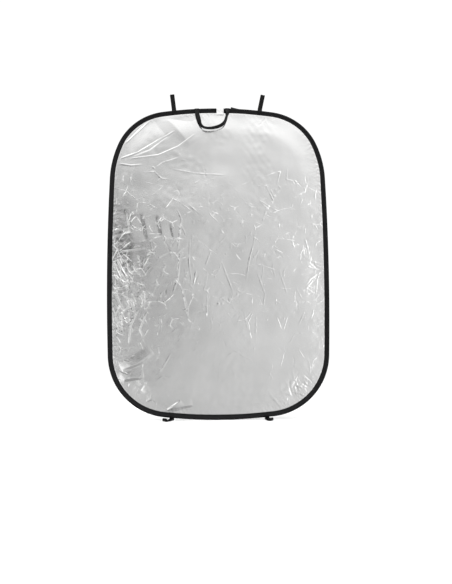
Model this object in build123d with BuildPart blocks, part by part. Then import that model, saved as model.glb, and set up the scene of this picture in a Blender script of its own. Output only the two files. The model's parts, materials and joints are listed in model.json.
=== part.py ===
from build123d import *
import os
from math import asin, copysign, cos, degrees, radians, sin

# Collapsible reflector panel: a flat spring-steel hoop runs in the folded edge binding of a
# two-sided cloth. The panel stands upright in the XZ plane. +X is to the right as seen from
# the silver side, which faces -Y, and +Z is up. The origin is the lowest point of the rim, in
# the middle of the panel's thickness. Lengths are in millimetres and angles in degrees.

os.makedirs("parts", exist_ok=True)

# ---- Driving dimensions -------------------------------------------------------------------

# Outer edge of the rim: tangent arcs from the bottom centre to the top centre, (radius, turn)
bottom_edge = (2600.0, 6.4)
bottom_corner = (335.0, 81.0)
side = (12985.0, 4.3)
shoulder = (545.0, 21.7)
top_corner = (311.0, 58.4)

# Section of the rim: "in" runs inwards from the rim's edge, "out" runs off the mid-plane
nose_r = 5.6            # round fold of the tape over the hoop
crown_in, crown_out = 10.0, 5.0
flange_in, flange_out = 20.0, 1.3
binding_w = 27.0
tape_t = 0.9

cloth_t = 0.4           # each of the two cloths
cloth_inset = 20.5      # the cloths' cut edge, between the two flanges of the binding
seam_in = 24.0          # line of stitches that closes the binding
thread_w, thread_h = 0.9, 0.35

hoop_w, hoop_t = 7.0, 1.0
hoop_in = 5.0           # middle of the strip's thickness, in from the rim's edge
hoop_gap = 1.5          # between the strip's two ends, inside the ferrule
ferrule_l, ferrule_wall, ferrule_play = 46.0, 0.5, 0.05
tube_l, tube_wall, tube_corner = 70.0, 0.4, 1.2

label_w, label_drop, label_t = 40.0, 38.0, 0.5
label_x = 14.5
label_seam = 2.0        # from the label's edge to its stitches

skin_gap = 0.05         # between the binding and what is sewn onto it
web_t = 1.5             # webbing thickness
web_reach = 23.3        # how far sewn webbing reaches in over the binding
loop_w = 25.0           # webbing width of the loops
pinch_up = 6.8          # the loop's two legs are tacked together this far off the rim
pinch_l = 2.0           # length of that joint
fold_gap = 0.7          # between a sewn end and the part that folds over
loop_l = 87.0           # from the fold line to the loop's tip
eye_r = 5.7             # inside of the loop's round tip
eye_start = 12.0        # from the fold line to where the loop opens
crease_r = 0.3          # inside of a crease where two legs of webbing part

# Each loop: place along the edge, lean out from the edge's normal, fold to the silver side
top_loops = {"top_left": (-243.5, 0.6, 0), "top_right": (237.7, 5.8, 0)}
bottom_loops = {"bottom_left": (-248.0, 21.0, 93.0), "bottom_right": (249.0, 8.0, 93.3)}

handle_w = 25.0
handle_t = 1.6
handle_left_x, handle_right_x = -116.5, 56.0
handle_clear = 0.75     # between the handle's sewn ends and the strap that swings round them
# The strap's route: x, distance in front of the hinge, drop below it, turn of the strap's
# width from +X towards the front, and slope of the width up towards its front edge
handle_route = [
    (-116.5, 0, 0, 0, 0),
    (-114, 0.6, 26, 0, 0),
    (-108, 4.6, 52, 16, 0),
    (-101, 11.6, 76, 40, 0.05),
    (-93, 17.6, 98, 66, 0.1),
    (-78, 20.6, 115, 85, 0.14),
    (-52, 21, 121, 90, 0.14),
    (-20, 20, 118, 90, 0.3),
    (12, 19, 108, 92, 0.5),
    (34, 17, 90, 100, 0.55),
    (47, 12, 60, 112, 0.35),
    (53.5, 7.6, 30, 120, 0.1),
    (55.6, 1.4, 12, 168, 0),
    (56, 0, 0, 180, 0),
]
# The right end's spare webbing lies along the back of the rim, its top corner above the rim:
# x and distance in from the rim's edge
tail_outline = [(50, 6), (71, 5), (77, -12), (146, 1), (143, 25), (50, 17)]
tail_tack_x, tail_tack_in = 136.0, 12.0

tack_w, tack_l, tack_h = 2.4, 20.0, 0.6
tack_in = 21.6          # bar tack's middle, in from the rim's edge

# ---- The rim's outline ----------------------------------------------------------------------

half_outline = [bottom_edge, bottom_corner, side, shoulder, top_corner]


def walk(start_x, start_z, heading, arcs):
    """Follow tangent arcs that turn left: each arc's start, heading, radius and turn, then the end."""
    x, z = start_x, start_z
    steps = []
    for radius, turn in arcs:
        steps.append((x, z, heading, radius, turn))
        x += radius * (sin(radians(heading + turn)) - sin(radians(heading)))
        z += radius * (cos(radians(heading)) - cos(radians(heading + turn)))
        heading += turn
    return steps, x, z


steps, last_x, last_z = walk(0, 0, 0, half_outline)
top_turn = 180 - sum(turn for radius, turn in half_outline)
top_radius = last_x / sin(radians(top_turn))
half_outline.append((top_radius, top_turn))
full_outline = half_outline + half_outline[::-1]
rim_steps, end_x, end_z = walk(0, 0, 0, full_outline)
panel_height = max(z for x, z, heading, radius, turn in rim_steps)
print(f"outline closes to {end_x:.6f}, {end_z:.6f}; top radius {top_radius:.1f}, height {panel_height:.1f}")


def edge_plane(x, z, heading):
    """Plane across the rim: local x inwards, local y to the front, normal along the rim."""
    along = Vector(cos(radians(heading)), 0, sin(radians(heading)))
    inwards = Vector(-sin(radians(heading)), 0, cos(radians(heading)))
    return Plane(origin=(x, 0, z), x_dir=inwards, z_dir=along)


def top_plane(x):
    """Plane across the rim at a place on the top edge."""
    tilt = asin(x / top_radius)
    z = panel_height - top_radius * (1 - cos(tilt))
    return edge_plane(x, z, 180 - degrees(tilt))


def bottom_plane(x):
    """Plane across the rim at a place on the bottom edge."""
    radius = bottom_edge[0]
    tilt = asin(x / radius)
    return edge_plane(x, radius * (1 - cos(tilt)), degrees(tilt))


def arc_axis(x, z, heading, radius):
    """Axis that an arc of the rim turns about, pointing to the front."""
    centre_x = x - radius * sin(radians(heading))
    centre_z = z + radius * cos(radians(heading))
    return Axis((centre_x, 0, centre_z), (0, -1, 0))


def inset_outline(inset):
    """The panel's outline moved inwards, as a face."""
    with BuildSketch(Plane.XZ) as outline:
        with BuildLine():
            start = (0, inset)
            heading = 0
            for radius, turn in full_outline:
                tangent = (cos(radians(heading)), sin(radians(heading)))
                arc = JernArc(start, tangent, radius - inset, turn)
                start = arc @ 1
                heading += turn
        make_face()
    return outline.sketch


# ---- Sections across the rim ------------------------------------------------------------------


def skin_line(gap, reach):
    """Line over the front half of the rim, a gap off its skin. Returns its two ends."""
    radius = nose_r + gap
    CenterArc((nose_r, 0), radius, 90, 90)
    Polyline(
        (nose_r, radius),
        (crown_in, crown_out + gap),
        (flange_in, flange_out + gap),
        (reach, flange_out + gap),
    )
    return (nose_r - radius, 0), (reach, flange_out + gap)


def rim_layer(inside, outside, reach):
    """Front half of a layer that lies over the rim, as a flat section."""
    with BuildSketch() as layer:
        with BuildLine():
            outer_tip, outer_end = skin_line(outside, reach)
            inner_tip, inner_end = skin_line(inside, reach)
            Line(outer_tip, inner_tip)
            Line(outer_end, inner_end)
        make_face()
    return layer.sketch


with BuildSketch() as binding_section:
    add(rim_layer(-tape_t, 0, binding_w))
    mirror(about=Plane.XZ)

# ---- Hoop and its splice ------------------------------------------------------------------------

bottom_radius = bottom_edge[0]
hoop_start = degrees(hoop_gap / 2 / bottom_radius)

with BuildPart() as spring_hoop:
    for number, (x, z, heading, radius, turn) in enumerate(rim_steps):
        skip_first = hoop_start if number == 0 else 0
        skip_last = hoop_start if number == len(rim_steps) - 1 else 0
        start_x, start_z = walk(x, z, heading, [(radius, skip_first)])[1:]
        with BuildSketch(edge_plane(start_x, start_z, heading + skip_first)):
            with Locations((hoop_in, 0)):
                Rectangle(hoop_t, hoop_w)
        hoop_turn = turn - skip_first - skip_last
        revolve(axis=arc_axis(x, z, heading, radius), revolution_arc=hoop_turn)
spring_hoop.part.label = "spring_hoop"
export_step(spring_hoop.part, "parts/spring_hoop.step")


def splice_step(length):
    """Start plane, axis and turn of a sleeve of this length at the bottom centre."""
    turn = degrees(length / bottom_radius)
    start_x, start_z = walk(0, 0, 0, [(bottom_radius, -turn / 2)])[1:]
    return edge_plane(start_x, start_z, -turn / 2), arc_axis(0, 0, 0, bottom_radius), turn


ferrule_plane, ferrule_axis, ferrule_turn = splice_step(ferrule_l)
ferrule_t = hoop_t + 2 * (ferrule_play + ferrule_wall)
ferrule_w = hoop_w + 2 * (ferrule_play + ferrule_wall)

with BuildPart() as splice_ferrule:
    with BuildSketch(ferrule_plane):
        with Locations((hoop_in, 0)):
            RectangleRounded(ferrule_t, ferrule_w, ferrule_wall)
            Rectangle(hoop_t + 2 * ferrule_play, hoop_w + 2 * ferrule_play, mode=Mode.SUBTRACT)
    revolve(axis=ferrule_axis, revolution_arc=ferrule_turn)
splice_ferrule.part.label = "splice_ferrule"
export_step(splice_ferrule.part, "parts/splice_ferrule.step")

tube_plane, tube_axis, tube_turn = splice_step(tube_l)
bore_t = ferrule_t + 2 * skin_gap
bore_w = ferrule_w + 2 * skin_gap

with BuildPart() as splice_shrink_tube:
    with BuildSketch(tube_plane):
        with Locations((hoop_in, 0)):
            RectangleRounded(bore_t + 2 * tube_wall, bore_w + 2 * tube_wall, tube_corner)
            RectangleRounded(bore_t, bore_w, ferrule_wall, mode=Mode.SUBTRACT)
    revolve(axis=tube_axis, revolution_arc=tube_turn)
splice_shrink_tube.part.label = "splice_shrink_tube"
export_step(splice_shrink_tube.part, "parts/splice_shrink_tube.step")

# ---- Cloths and binding ------------------------------------------------------------------------

cloth_face = inset_outline(cloth_inset)

with BuildPart() as silver_fabric:
    add(cloth_face)
    extrude(amount=cloth_t, dir=(0, -1, 0))
silver_fabric.part.label = "silver_fabric"
export_step(silver_fabric.part, "parts/silver_fabric.step")

with BuildPart() as white_fabric:
    add(cloth_face)
    extrude(amount=cloth_t, dir=(0, 1, 0))
white_fabric.part.label = "white_fabric"
export_step(white_fabric.part, "parts/white_fabric.step")

with BuildPart() as edge_binding:
    for x, z, heading, radius, turn in rim_steps:
        with BuildSketch(edge_plane(x, z, heading)):
            add(binding_section.sketch)
        revolve(axis=arc_axis(x, z, heading, radius), revolution_arc=turn)
edge_binding.part.label = "edge_binding"
export_step(edge_binding.part, "parts/edge_binding.step")

# The seam's two threads lie on the binding's two flanges
for name, face in (("binding_needle_thread", 1), ("binding_bobbin_thread", -1)):
    with BuildPart() as seam_thread:
        for x, z, heading, radius, turn in rim_steps:
            with BuildSketch(edge_plane(x, z, heading)):
                with Locations((seam_in, face * (flange_out + thread_h / 2))):
                    Rectangle(thread_w, thread_h)
            revolve(axis=arc_axis(x, z, heading, radius), revolution_arc=turn)
    seam_thread.part.label = name
    export_step(seam_thread.part, f"parts/{name}.step")

# ---- Label -------------------------------------------------------------------------------------

thread_clear = thread_h + skin_gap      # the label bridges the binding's seam

with BuildPart() as woven_label:
    with BuildSketch(top_plane(label_x)):
        add(rim_layer(thread_clear, thread_clear + label_t, label_drop))
    extrude(amount=label_w / 2, both=True)
woven_label.part.label = "woven_label"
export_step(woven_label.part, "parts/woven_label.step")

label_face = thread_clear + label_t
label_plane = top_plane(label_x)

with BuildPart() as label_stitching:
    for across in (-1, 1):
        middle = across * (label_w / 2 - label_seam)
        with BuildSketch(label_plane.offset(middle - thread_w / 2)):
            add(rim_layer(label_face, label_face + thread_h, label_drop - label_seam))
        extrude(amount=thread_w)
    with BuildSketch(label_plane.offset(-label_w / 2 + label_seam + thread_w)):
        with Locations((label_drop - label_seam - thread_w / 2, flange_out + label_face + thread_h / 2)):
            Rectangle(thread_w, thread_h)
    extrude(amount=label_w - 2 * label_seam - 2 * thread_w)
label_stitching.part.label = "label_stitching"
export_step(label_stitching.part, "parts/label_stitching.step")

# ---- Webbing loops -----------------------------------------------------------------------------

# A loop's sewn end: two legs that straddle the rim and meet at the pinch outside it
with BuildSketch() as roof:
    with Locations((web_t - pinch_up, 0)):
        Circle(web_t)
    with Locations((nose_r, 0)):
        Circle(nose_r + skin_gap + web_t)
    make_hull()
    with Locations((nose_r + web_reach / 2, 0)):
        Rectangle(web_reach, web_reach, mode=Mode.SUBTRACT)

with BuildSketch() as under_roof:
    with Locations((pinch_l - pinch_up + crease_r, 0)):
        Circle(crease_r)
    with Locations((nose_r, 0)):
        Circle(nose_r + skin_gap)
    make_hull()

with BuildSketch() as straddle:
    add(rim_layer(skin_gap, skin_gap + web_t, web_reach))
    mirror(about=Plane.XZ)
    add(roof.sketch)
    add(under_roof.sketch, mode=Mode.SUBTRACT)

# The free part of a loop: a teardrop, its flat root long enough to be cut on a slant
with BuildSketch() as teardrop_outside:
    with Locations((loop_l - eye_r - web_t, 0)):
        Circle(eye_r + web_t)
    with Locations((eye_start, 0)):
        Circle(crease_r + web_t)
    make_hull()

with BuildSketch() as teardrop_inside:
    with Locations((loop_l - eye_r - web_t, 0)):
        Circle(eye_r)
    with Locations((eye_start, 0)):
        Circle(crease_r)
    make_hull()

with BuildSketch() as teardrop:
    with Locations(((eye_start - loop_w / 2) / 2, 0)):
        Rectangle(eye_start + loop_w / 2, 2 * web_t)
    add(teardrop_outside.sketch)
    add(teardrop_inside.sketch, mode=Mode.SUBTRACT)


def loop_frame(plane, x, lean, fold):
    """A loop's fold line, the way straight out from it, the loop's own way and its width."""
    away = plane.z_dir * copysign(1, plane.z_dir.X * x)
    outwards = plane.x_dir * -1
    route = outwards * cos(radians(lean)) + away * sin(radians(lean))
    width = away * cos(radians(lean)) - outwards * sin(radians(lean))
    hinge = Axis(plane.origin + outwards * (pinch_up + fold_gap + web_t), plane.z_dir)
    turn = Axis((0, 0, 0), plane.z_dir)
    return hinge, outwards.rotate(turn, -fold), route.rotate(turn, -fold), width.rotate(turn, -fold), lean


loops = {}
for name, (x, lean, fold) in top_loops.items():
    loops[name] = (top_plane(x), *loop_frame(top_plane(x), x, lean, fold))
for name, (x, lean, fold) in bottom_loops.items():
    loops[name] = (bottom_plane(x), *loop_frame(bottom_plane(x), x, lean, fold))

for name, (plane, hinge, outwards, route, width, lean) in loops.items():
    with BuildPart() as sewn_end:
        with BuildSketch(plane):
            add(straddle.sketch)
        extrude(amount=loop_w / 2, both=True)
    sewn_end.part.label = f"{name}_loop_sewn_end"
    export_step(sewn_end.part, f"parts/{name}_loop_sewn_end.step")

    with BuildPart() as loop:
        with BuildSketch(Plane(origin=hinge.position, x_dir=route, z_dir=width)):
            add(teardrop.sketch)
        extrude(amount=loop_w / 2, both=True)
        split(bisect_by=Plane(origin=hinge.position, z_dir=outwards), keep=Keep.TOP)
        # The fold itself is round, so that it turns clear of the sewn end
        with BuildSketch(Plane(origin=hinge.position, z_dir=hinge.direction)):
            Circle(web_t)
        extrude(amount=loop_w / 2 / cos(radians(lean)), both=True)
    loop.part.label = f"{name}_loop"
    export_step(loop.part, f"parts/{name}_loop.step")
    eye = hinge.position + route * (loop_l - eye_r - web_t)
    print(name, "hinge", hinge.position, hinge.direction, "eye", eye, "width", width)

loop_face = flange_out + skin_gap + web_t

with BuildPart() as loop_bar_tacks:
    for plane, hinge, outwards, route, width, lean in loops.values():
        for face in (-1, 1):
            with BuildSketch(plane.offset(-tack_l / 2)):
                with Locations((tack_in, face * (loop_face + tack_h / 2))):
                    Rectangle(tack_w, tack_h)
            extrude(amount=tack_l)
loop_bar_tacks.part.label = "loop_bar_tacks"
export_step(loop_bar_tacks.part, "parts/loop_bar_tacks.step")

# ---- Handle ------------------------------------------------------------------------------------

# A sewn end comes up the back of the binding and over its nose
with BuildSketch() as over_nose:
    add(rim_layer(skin_gap, skin_gap + handle_t, web_reach))
    mirror(about=Plane.XZ)
    with Locations((nose_r + web_reach / 2, flange_out + web_reach / 2)):
        Rectangle(web_reach, web_reach + 2 * flange_out, mode=Mode.SUBTRACT)

with BuildPart() as handle_left_end:
    with BuildSketch(top_plane(handle_left_x)):
        add(over_nose.sketch)
    extrude(amount=handle_w / 2, both=True)
handle_left_end.part.label = "handle_left_end"
export_step(handle_left_end.part, "parts/handle_left_end.step")

right_plane = top_plane(handle_right_x)
handle_back = flange_out + skin_gap + handle_t

with BuildPart() as handle_right_end:
    with BuildSketch(right_plane):
        add(over_nose.sketch)
    extrude(amount=handle_w / 2, both=True)
    with BuildSketch(Plane.XZ.offset(-nose_r - skin_gap)):
        with BuildLine():
            corners = []
            for x, inwards in tail_outline:
                corner = top_plane(x).origin + top_plane(x).x_dir * inwards
                corners.append((corner.X, corner.Z))
            Polyline(*corners, close=True)
        make_face()
    extrude(amount=-handle_t)
handle_right_end.part.label = "handle_right_end"
export_step(handle_right_end.part, "parts/handle_right_end.step")

with BuildPart() as handle_bar_tacks:
    for x in (handle_left_x, handle_right_x):
        with BuildSketch(top_plane(x).offset(-tack_l / 2)):
            with Locations((tack_in, -(handle_back + tack_h / 2))):
                Rectangle(tack_w, tack_h)
        extrude(amount=tack_l)
    with BuildSketch(top_plane(tail_tack_x).offset(-tack_w / 2)):
        with Locations((tail_tack_in, -(nose_r + skin_gap + handle_t + tack_h / 2))):
            Rectangle(tack_l, tack_h)
    extrude(amount=tack_w)
handle_bar_tacks.part.label = "handle_bar_tacks"
export_step(handle_bar_tacks.part, "parts/handle_bar_tacks.step")

left_pivot = top_plane(handle_left_x).origin + top_plane(handle_left_x).x_dir * nose_r
right_pivot = right_plane.origin + right_plane.x_dir * nose_r
hinge_slope = (right_pivot.Z - left_pivot.Z) / (right_pivot.X - left_pivot.X)
hinge_front = nose_r + skin_gap + handle_t + handle_clear + handle_t / 2
strap_points = []
for x, front, drop, turn, lift in handle_route:
    hinge_z = left_pivot.Z + hinge_slope * (x - left_pivot.X)
    strap_points.append(Vector(x, -hinge_front - front, hinge_z - drop))

strap_planes = []
for number, (point, (x, front, drop, turn, lift)) in enumerate(zip(strap_points, handle_route)):
    before = strap_points[max(number - 1, 0)]
    after = strap_points[min(number + 1, len(strap_points) - 1)]
    along = (after - before).normalized()
    across = Vector(cos(radians(turn)), -sin(radians(turn)), lift)
    across = (across - along * across.dot(along)).normalized()
    strap_planes.append(Plane(origin=point, x_dir=across, z_dir=along))

with BuildPart() as handle_strap:
    for near, far in zip(strap_planes, strap_planes[1:]):
        with BuildSketch(near, far):
            Rectangle(handle_w, handle_t)
        loft(ruled=True)
handle_strap.part.label = "handle_strap"
export_step(handle_strap.part, "parts/handle_strap.step")
print("handle pivots", left_pivot, right_pivot)
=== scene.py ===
import json
import math

import bpy
import numpy as np
from mathutils import Matrix, Vector
from mathutils.kdtree import KDTree


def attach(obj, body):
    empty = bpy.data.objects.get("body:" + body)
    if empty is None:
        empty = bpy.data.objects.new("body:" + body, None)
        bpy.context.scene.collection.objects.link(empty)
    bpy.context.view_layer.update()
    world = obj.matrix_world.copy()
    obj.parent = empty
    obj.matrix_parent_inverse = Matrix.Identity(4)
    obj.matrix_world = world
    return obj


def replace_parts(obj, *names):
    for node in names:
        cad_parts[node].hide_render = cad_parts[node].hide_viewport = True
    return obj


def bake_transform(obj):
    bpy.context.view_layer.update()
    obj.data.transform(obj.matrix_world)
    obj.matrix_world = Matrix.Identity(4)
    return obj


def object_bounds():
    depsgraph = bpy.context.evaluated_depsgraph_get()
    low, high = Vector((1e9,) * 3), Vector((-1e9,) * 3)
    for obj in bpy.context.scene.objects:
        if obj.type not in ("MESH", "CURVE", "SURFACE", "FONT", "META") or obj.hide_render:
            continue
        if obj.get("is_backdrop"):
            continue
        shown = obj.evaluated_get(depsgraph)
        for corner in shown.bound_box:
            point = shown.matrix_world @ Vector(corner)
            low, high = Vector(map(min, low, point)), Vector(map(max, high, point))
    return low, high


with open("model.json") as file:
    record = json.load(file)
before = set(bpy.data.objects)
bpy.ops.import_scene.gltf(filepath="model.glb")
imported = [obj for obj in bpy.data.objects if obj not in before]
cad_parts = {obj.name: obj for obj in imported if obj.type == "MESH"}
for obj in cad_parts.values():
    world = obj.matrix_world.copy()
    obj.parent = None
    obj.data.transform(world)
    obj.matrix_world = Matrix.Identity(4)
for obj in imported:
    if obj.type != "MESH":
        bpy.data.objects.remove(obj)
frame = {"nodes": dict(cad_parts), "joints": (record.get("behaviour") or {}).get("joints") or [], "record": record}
cad_low, cad_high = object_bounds()
scene = bpy.context.scene
record = frame["record"]
MM = 0.001

# ---- The rim, as in the CAD source, in metres ----

# Tangent arcs of the outer edge from the bottom centre upwards: radius, turn in degrees
HALF_OUTLINE = [(2.600, 6.4), (0.335, 81.0), (12.985, 4.3), (0.545, 21.7), (0.311, 58.4)]
NOSE_R = 5.6 * MM           # round fold of the tape over the hoop
FLANGE_OUT = 1.3 * MM       # face of the two flanges, off the mid-plane
TAPE_T = 0.9 * MM
BINDING_W = 27 * MM
SEAM_IN = 24 * MM
CLOTH_INSET = 20.5 * MM
CLOTH_T = 0.25 * MM
SKIN_GAP = 0.05 * MM        # sewn webbing's clearance off the tape
LOOP_W, LOOP_T = 25 * MM, 1.5 * MM
HANDLE_W, HANDLE_T = 25 * MM, 1.6 * MM
SEWN_REACH = 23.3 * MM      # how far sewn webbing reaches in over the binding
PINCH_UP = 6.8 * MM         # the loops' legs meet this far off the rim
FRONT = np.array((0.0, -1.0, 0.0))


def whole_outline():
    """All the arcs round the rim, from the bottom centre: start x, z, heading, radius, turn."""
    arcs = [(radius, math.radians(turn)) for radius, turn in HALF_OUTLINE]
    x = heading = 0.0
    for radius, turn in arcs:
        x += radius * (math.sin(heading + turn) - math.sin(heading))
        heading += turn
    top_turn = math.pi - heading
    arcs.append((x / math.sin(top_turn), top_turn))
    steps = []
    x = z = heading = 0.0
    for radius, turn in arcs + arcs[::-1]:
        steps.append((x, z, heading, radius, turn))
        x += radius * (math.sin(heading + turn) - math.sin(heading))
        z += radius * (math.cos(heading) - math.cos(heading + turn))
        heading += turn
    return steps


RIM = whole_outline()
RIM_LENGTHS = [radius * turn for x, z, heading, radius, turn in RIM]
RIM_LENGTH = sum(RIM_LENGTHS)


def rim_at(s):
    """Edge points, ways along the rim and ways inwards, this far round it from the bottom centre."""
    s = np.asarray(s, float) % RIM_LENGTH
    edges = np.concatenate(([0], np.cumsum(RIM_LENGTHS)))
    number = np.clip(np.searchsorted(edges, s, side="right") - 1, 0, len(RIM) - 1)
    x, z, heading, radius, turn = np.array(RIM)[number].T
    angle = heading + (s - edges[number]) / radius
    px = x + radius * (np.sin(angle) - np.sin(heading))
    pz = z + radius * (np.cos(heading) - np.cos(angle))
    zero = np.zeros_like(px)
    point = np.stack((px, zero, pz), -1)
    along = np.stack((np.cos(angle), zero, np.sin(angle)), -1)
    inwards = np.stack((-np.sin(angle), zero, np.cos(angle)), -1)
    return point, along, inwards


def top_spot(x):
    """The rim's edge at x along its top, the way along it there and the way inwards."""
    radius = RIM[5][3]
    return [a[0] for a in rim_at([RIM_LENGTH / 2 - radius * math.asin(x / radius)])]


# ---- Mesh helpers ----


class Shape:
    """Collects points, faces and a UV map in metres, then becomes one object."""

    def __init__(self):
        self.points, self.faces, self.uvs, self.count = [], [], [], 0

    def grid(self, points, u, v, close_u=False, close_v=False, caps=False):
        """Quads over a grid of points [i, j], with UVs u and v, one longer where it closes."""
        rows, columns = points.shape[:2]
        number = np.arange(rows * columns).reshape(rows, columns) + self.count
        if close_u:
            number = np.vstack((number, number[:1]))
        if close_v:
            number = np.hstack((number, number[:, :1]))
        quads = np.stack((number[:-1, :-1], number[1:, :-1], number[1:, 1:], number[:-1, 1:]), -1)
        uu, vv = np.meshgrid(u, v, indexing="ij")
        uv = np.stack((uu, vv), -1)
        uvs = np.stack((uv[:-1, :-1], uv[1:, :-1], uv[1:, 1:], uv[:-1, 1:]), 2)
        self.points.append(points.reshape(-1, 3))
        self.faces += [list(q) for q in quads.reshape(-1, 4).tolist()]
        self.uvs.append(uvs.reshape(-1, 2))
        if caps:
            for row, backwards in ((0, False), (rows - 1, True)):
                ring = (np.arange(columns) + self.count + row * columns).tolist()
                across = np.stack((np.full(columns, u[row]), np.asarray(v)[:columns]), -1)
                if backwards:
                    ring, across = ring[::-1], across[::-1]
                self.faces.append(ring)
                self.uvs.append(across)
        self.count += rows * columns

    def make(self, name, material, angle=None):
        mesh = bpy.data.meshes.new(name)
        points = np.concatenate(self.points)
        mesh.from_pydata(points.tolist(), [], self.faces)
        layer = mesh.uv_layers.new(name="UVMap")
        layer.data.foreach_set("uv", np.concatenate(self.uvs).astype(np.float32).ravel())
        mesh.polygons.foreach_set("use_smooth", [True] * len(mesh.polygons))
        if angle is not None:
            mesh.set_sharp_from_angle(angle=math.radians(angle))
        mesh.materials.append(material)
        mesh.update()
        obj = bpy.data.objects.new(name, mesh)
        scene.collection.objects.link(obj)
        return obj


def smooth_line(points, spacing):
    """Catmull-Rom curve through points (any number of columns), sampled about evenly in its first three."""
    p = np.asarray(points, float)
    p = np.vstack((2 * p[0] - p[1], p, 2 * p[-1] - p[-2]))
    out = []
    for i in range(1, len(p) - 2):
        steps = max(2, int(np.linalg.norm((p[i + 1] - p[i])[:3]) / spacing + 0.5))
        t = (np.arange(steps) / steps)[:, None]
        out.append(0.5 * (2 * p[i] + (p[i + 1] - p[i - 1]) * t
                          + (2 * p[i - 1] - 5 * p[i] + 4 * p[i + 1] - p[i + 2]) * t ** 2
                          + (3 * p[i] - p[i - 1] - 3 * p[i + 1] + p[i + 2]) * t ** 3))
    out.append(p[-2:-1])
    return np.concatenate(out)


def unit(a):
    return a / np.linalg.norm(a, axis=-1, keepdims=True)


def lengths(points):
    """Distance along a line of points, from its start."""
    return np.concatenate(([0], np.cumsum(np.linalg.norm(np.diff(points, axis=0), axis=1))))


def ribbon(shape, centre, width, wide, thick, ribs=24):
    """Webbing along centre, its width along the width vectors. Its edges are round."""
    along = unit(np.gradient(centre, axis=0))
    across = unit(width - along * (width * along).sum(1, keepdims=True))
    normal = np.cross(across, along)
    flat = np.linspace(-1, 1, ribs // 2 - 3)
    half = thick / 2
    turn = np.radians((60, 0, -60))
    top = [(t * (wide / 2 - half), half) for t in flat]
    right = [(wide / 2 - half + half * math.cos(a), half * math.sin(a)) for a in turn]
    section = np.array(top + right + [(-a, -b) for a, b in top + right])
    points = centre[:, None] + across[:, None] * section[:, :1] + normal[:, None] * section[:, 1:]
    u = lengths(centre)
    turned = np.vstack((section, section[:1]))
    shape.grid(points, u, lengths(turned), close_v=True, caps=True)


def stitches(name, material, middle, along, normal, long, wide, high):
    """Round-ended stitches, each one's underside a little into the cloth."""
    ends = np.array((-0.5, -0.42, -0.22, 0.22, 0.42, 0.5))
    fat = np.array((0.25, 0.72, 1.0, 1.0, 0.72, 0.25))
    turn = np.linspace(0, 2 * math.pi, 6, endpoint=False)
    across = np.cross(normal, along)
    stitch = (ends[:, None, None] * long * np.array((1.0, 0, 0))
              + fat[:, None, None] * (np.cos(turn)[:, None] * (wide / 2) * np.array((0, 1.0, 0))
                                      + np.sin(turn)[:, None] * (high / 2) * np.array((0, 0, 1.0))))
    shape = Shape()
    for m, a, b, n in zip(middle, along, across, normal):
        local = stitch @ np.stack((a, b, n))
        shape.grid(m + local, ends * long, turn.tolist() + [2 * math.pi], close_v=True, caps=True)
    return shape.make(name, material)


# ---- Materials ----


class Nodes:
    """Makes shader nodes in one tree."""

    def __init__(self, tree):
        self.tree = tree

    def node(self, kind, link=(), **values):
        made = self.tree.nodes.new(kind)
        for key, value in values.items():
            setattr(made, key, value)
        for socket, source in dict(link).items():
            if isinstance(source, bpy.types.NodeSocket):
                self.tree.links.new(source, made.inputs[socket])
            else:
                made.inputs[socket].default_value = source
        return made

    def math(self, operation, a, b=0.0):
        return self.node("ShaderNodeMath", {0: a, 1: b}, operation=operation).outputs[0]

    def times(self, a, b):
        return self.math("MULTIPLY", a, b)

    def plus(self, a, b):
        return self.math("ADD", a, b)


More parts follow.
